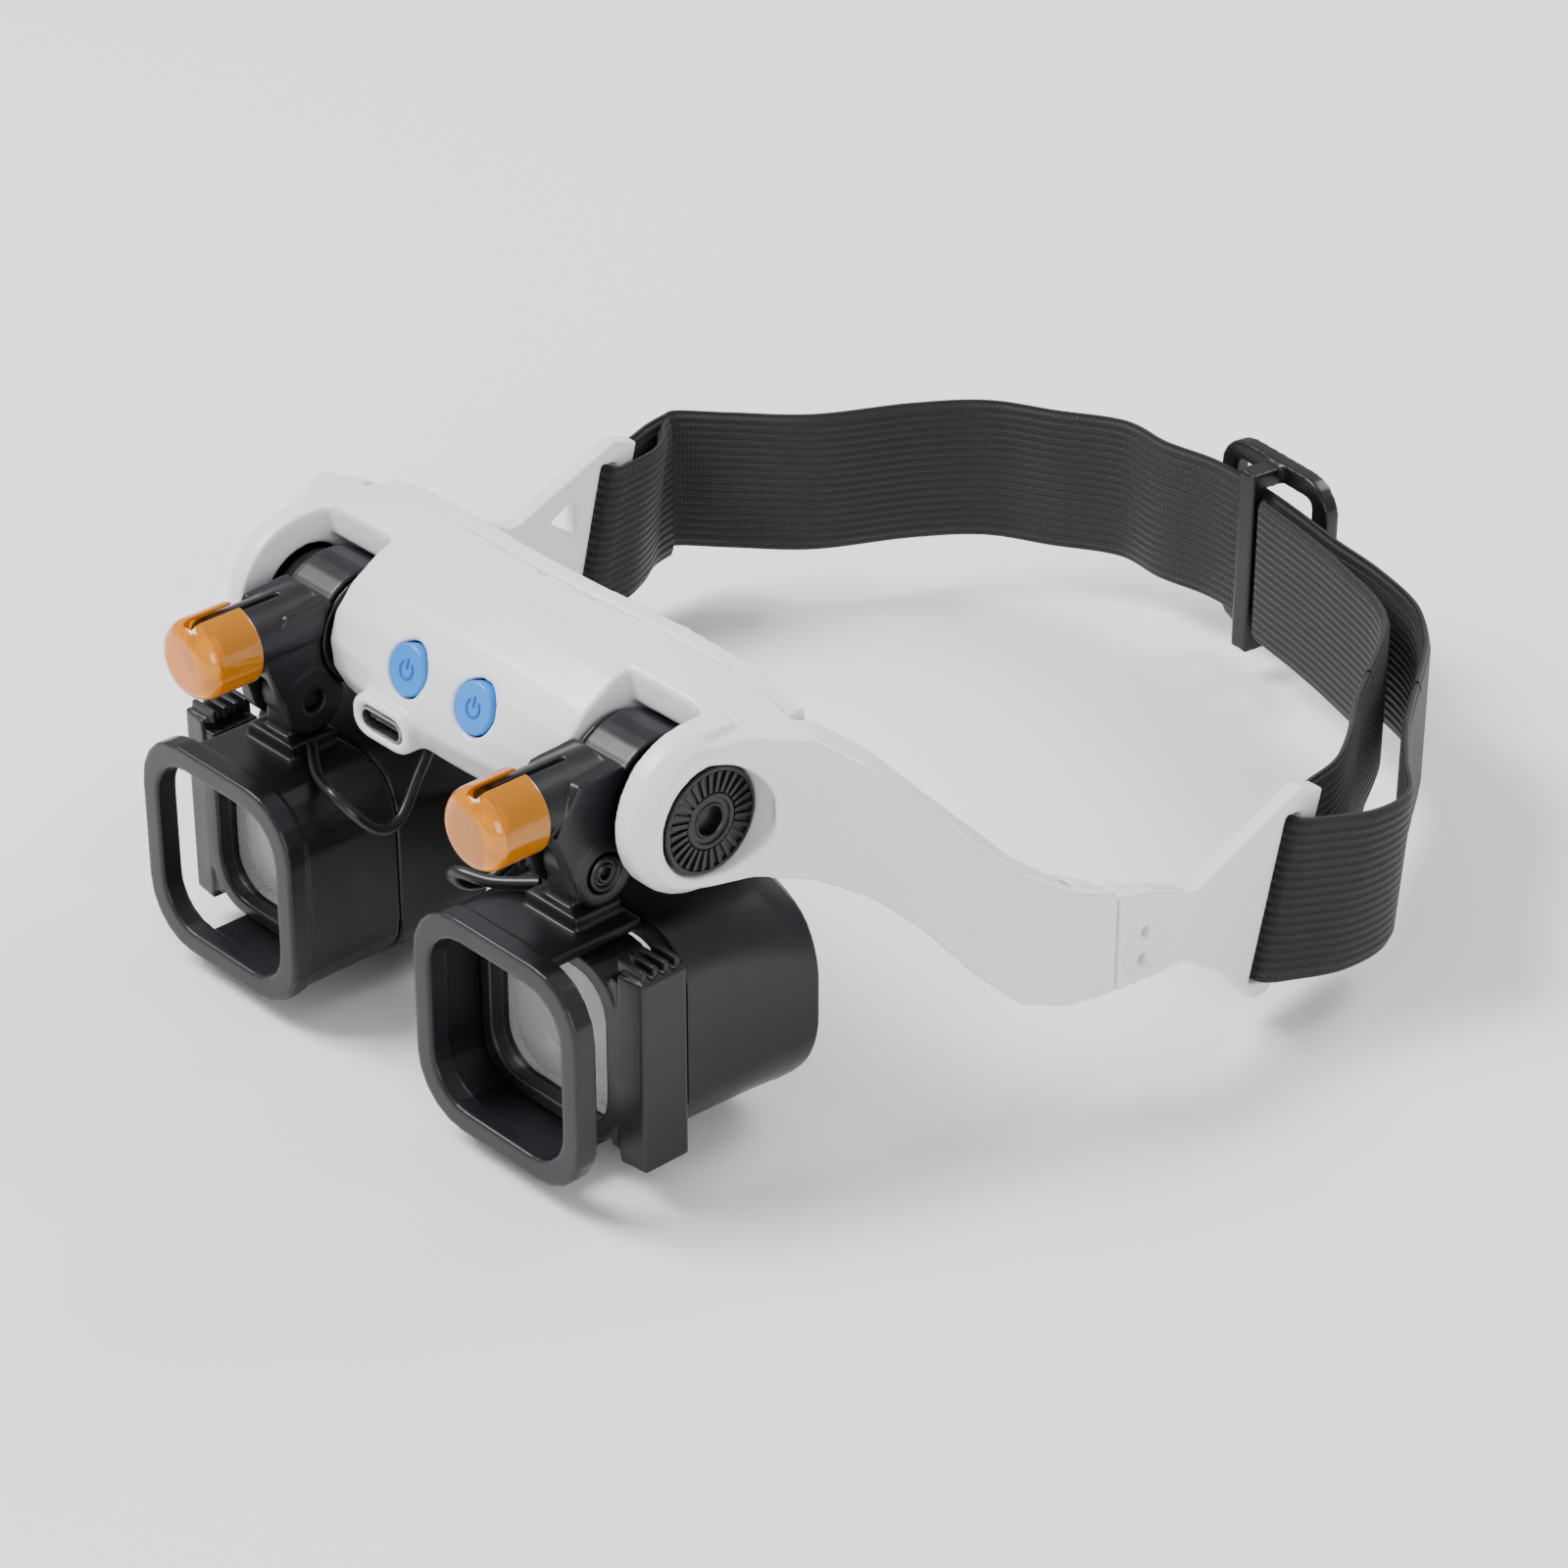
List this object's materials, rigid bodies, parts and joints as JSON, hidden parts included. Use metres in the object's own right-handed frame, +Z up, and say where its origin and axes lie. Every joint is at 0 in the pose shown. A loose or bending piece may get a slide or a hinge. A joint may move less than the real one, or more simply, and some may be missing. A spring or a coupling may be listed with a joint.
{
  "type": "head visor magnifier",
  "caption": "Head-worn magnifier: white brow housing with flip-up hooded lenses, amber-capped lamps, a forehead pad and an elastic strap on hinged arms.",
  "frame": {"origin": "middle of the forehead pad's rear surface, level with the knob axis, where the wearer's forehead rests", "axes": "+X towards the wearer's left ear (the image's right side), +Y from the brow housing back over the head to the strap, +Z up"},
  "size_m": [0.1676, 0.1962, 0.069],
  "materials": {
    "white_plastic": "satin, faintly lilac white",
    "black_plastic": "satin charcoal",
    "soft_rubber": "soft matt",
    "port_metal": "tinned",
    "screw_steel": "satin",
    "board": "solder mask",
    "cell": "foil pouch",
    "blue_plastic": "satin light blue",
    "lamp": "clear epoxy over phosphor",
    "amber": "glossy translucent amber plastic",
    "lens_clear": "polished",
    "elastic": "ribbed woven elastic"
  },
  "bodies": {
    "frame": {"housing_shell": "white_plastic", "rear_cover": "white_plastic", "forehead_pad": "soft_rubber", "nose_bridge": "black_plastic", "usb_shell": "port_metal", "usb_tongue": "black_plastic", "circuit_board": "board", "battery": "cell", "cover_screw_1": "screw_steel", "cover_screw_2": "screw_steel", "cover_screw_3": "screw_steel", "cover_screw_4": "screw_steel", "tact_switch_right": "port_metal", "tact_switch_left": "port_metal", "hinge_pin_right": "screw_steel", "hinge_pin_left": "screw_steel", "strap_back": "elastic", "strap_return": "elastic", "strap_slider": "black_plastic"},
    "button_right": {"button_right": "blue_plastic"},
    "button_left": {"button_left": "blue_plastic"},
    "knob_right": {"knob_right": "black_plastic", "lead_screw_right": "screw_steel"},
    "carriage_right": {"carriage_right": "black_plastic"},
    "lamp_right": {"lamp_arm_right": "black_plastic", "lamp_led_right": "lamp", "pivot_screw_right": "black_plastic", "lamp_lead_right": "soft_rubber"},
    "lamp_cap_right": {"lamp_cap_right": "amber"},
    "eyepiece_right": {"barrel_right": "black_plastic", "eyecup_right": "black_plastic"},
    "cartridge_right": {"lens_frame_right": "black_plastic", "lens_right": "lens_clear"},
    "strap_arm_right": {"strap_arm_right": "white_plastic", "strap_loop_right": "elastic"},
    "knob_left": {"knob_left": "black_plastic", "lead_screw_left": "screw_steel"},
    "carriage_left": {"carriage_left": "black_plastic"},
    "lamp_left": {"lamp_arm_left": "black_plastic", "lamp_led_left": "lamp", "pivot_screw_left": "black_plastic", "lamp_lead_left": "soft_rubber"},
    "lamp_cap_left": {"lamp_cap_left": "amber"},
    "eyepiece_left": {"barrel_left": "black_plastic", "eyecup_left": "black_plastic"},
    "cartridge_left": {"lens_frame_left": "black_plastic", "lens_left": "lens_clear"},
    "strap_arm_left": {"strap_arm_left": "white_plastic", "strap_loop_left": "elastic"}
  },
  "joints": [
    {"name": "button_press_right", "type": "slide", "parent": "frame", "child": "button_right", "axis": [0, 0.9511, -0.309], "range_m": [0, 0.0005], "stiffness_N_per_m": 600, "springref_m": -0.0004},
    {"name": "button_press_left", "type": "slide", "parent": "frame", "child": "button_left", "axis": [0, 0.9511, -0.309], "range_m": [0, 0.0005], "stiffness_N_per_m": 600, "springref_m": -0.0004},
    {"name": "knob_turn_right", "type": "hinge", "parent": "frame", "child": "knob_right", "pos_m": [0.0476, -0.0135, 0], "axis": [1, 0, 0], "range_deg": [-90, 576]},
    {"name": "eye_spacing_right", "type": "slide", "parent": "frame", "child": "carriage_right", "axis": [1, 0, 0], "range_m": [-0.0005, 0.0032], "deforming": ["lamp_lead_right"]},
    {"name": "flip_up_right", "type": "hinge", "parent": "carriage_right", "child": "lamp_right", "pos_m": [0.0328, -0.0135, 0], "axis": [1, 0, 0], "range_deg": [-60, 0], "deforming": ["lamp_lead_right"]},
    {"name": "eye_tilt_right", "type": "hinge", "parent": "lamp_right", "child": "eyepiece_right", "pos_m": [0.032, -0.0247, -0.008], "axis": [1, 0, 0], "range_deg": [-32, 3], "deforming": ["lamp_lead_right"]},
    {"name": "lens_slide_right", "type": "slide", "parent": "eyepiece_right", "child": "cartridge_right", "axis": [1, 0, 0], "range_m": [0, 0.036]},
    {"name": "lamp_cap_off_right", "type": "slide", "parent": "lamp_right", "child": "lamp_cap_right", "axis": [0, -1, 0], "range_m": [0, 0.012]},
    {"name": "strap_arm_fold_right", "type": "hinge", "parent": "frame", "child": "strap_arm_right", "pos_m": [0.0727, 0.03025, -0.027], "axis": [0, 0, 1], "range_deg": [0, 35], "deforming": ["strap_loop_right", "strap_back", "strap_return"]},
    {"name": "knob_turn_left", "type": "hinge", "parent": "frame", "child": "knob_left", "pos_m": [-0.0476, -0.0135, 0], "axis": [-1, 0, 0], "range_deg": [-90, 576]},
    {"name": "eye_spacing_left", "type": "slide", "parent": "frame", "child": "carriage_left", "axis": [-1, 0, 0], "range_m": [-0.0005, 0.0032], "deforming": ["lamp_lead_left"]},
    {"name": "flip_up_left", "type": "hinge", "parent": "carriage_left", "child": "lamp_left", "pos_m": [-0.0328, -0.0135, 0], "axis": [1, 0, 0], "range_deg": [-60, 0], "deforming": ["lamp_lead_left"]},
    {"name": "eye_tilt_left", "type": "hinge", "parent": "lamp_left", "child": "eyepiece_left", "pos_m": [-0.032, -0.0247, -0.008], "axis": [1, 0, 0], "range_deg": [-32, 3], "deforming": ["lamp_lead_left"]},
    {"name": "lens_slide_left", "type": "slide", "parent": "eyepiece_left", "child": "cartridge_left", "axis": [-1, 0, 0], "range_m": [0, 0.036]},
    {"name": "lamp_cap_off_left", "type": "slide", "parent": "lamp_left", "child": "lamp_cap_left", "axis": [0, -1, 0], "range_m": [0, 0.012]},
    {"name": "strap_arm_fold_left", "type": "hinge", "parent": "frame", "child": "strap_arm_left", "pos_m": [-0.0727, 0.03025, -0.027], "axis": [0, 0, -1], "range_deg": [0, 35], "deforming": ["strap_loop_left", "strap_back", "strap_return"]}
  ],
  "couplings": [
    {"joint": "knob_turn_right", "follows": "eye_spacing_right", "rad_per_m": 3141.6},
    {"joint": "knob_turn_left", "follows": "eye_spacing_left", "rad_per_m": 3141.6}
  ]
}
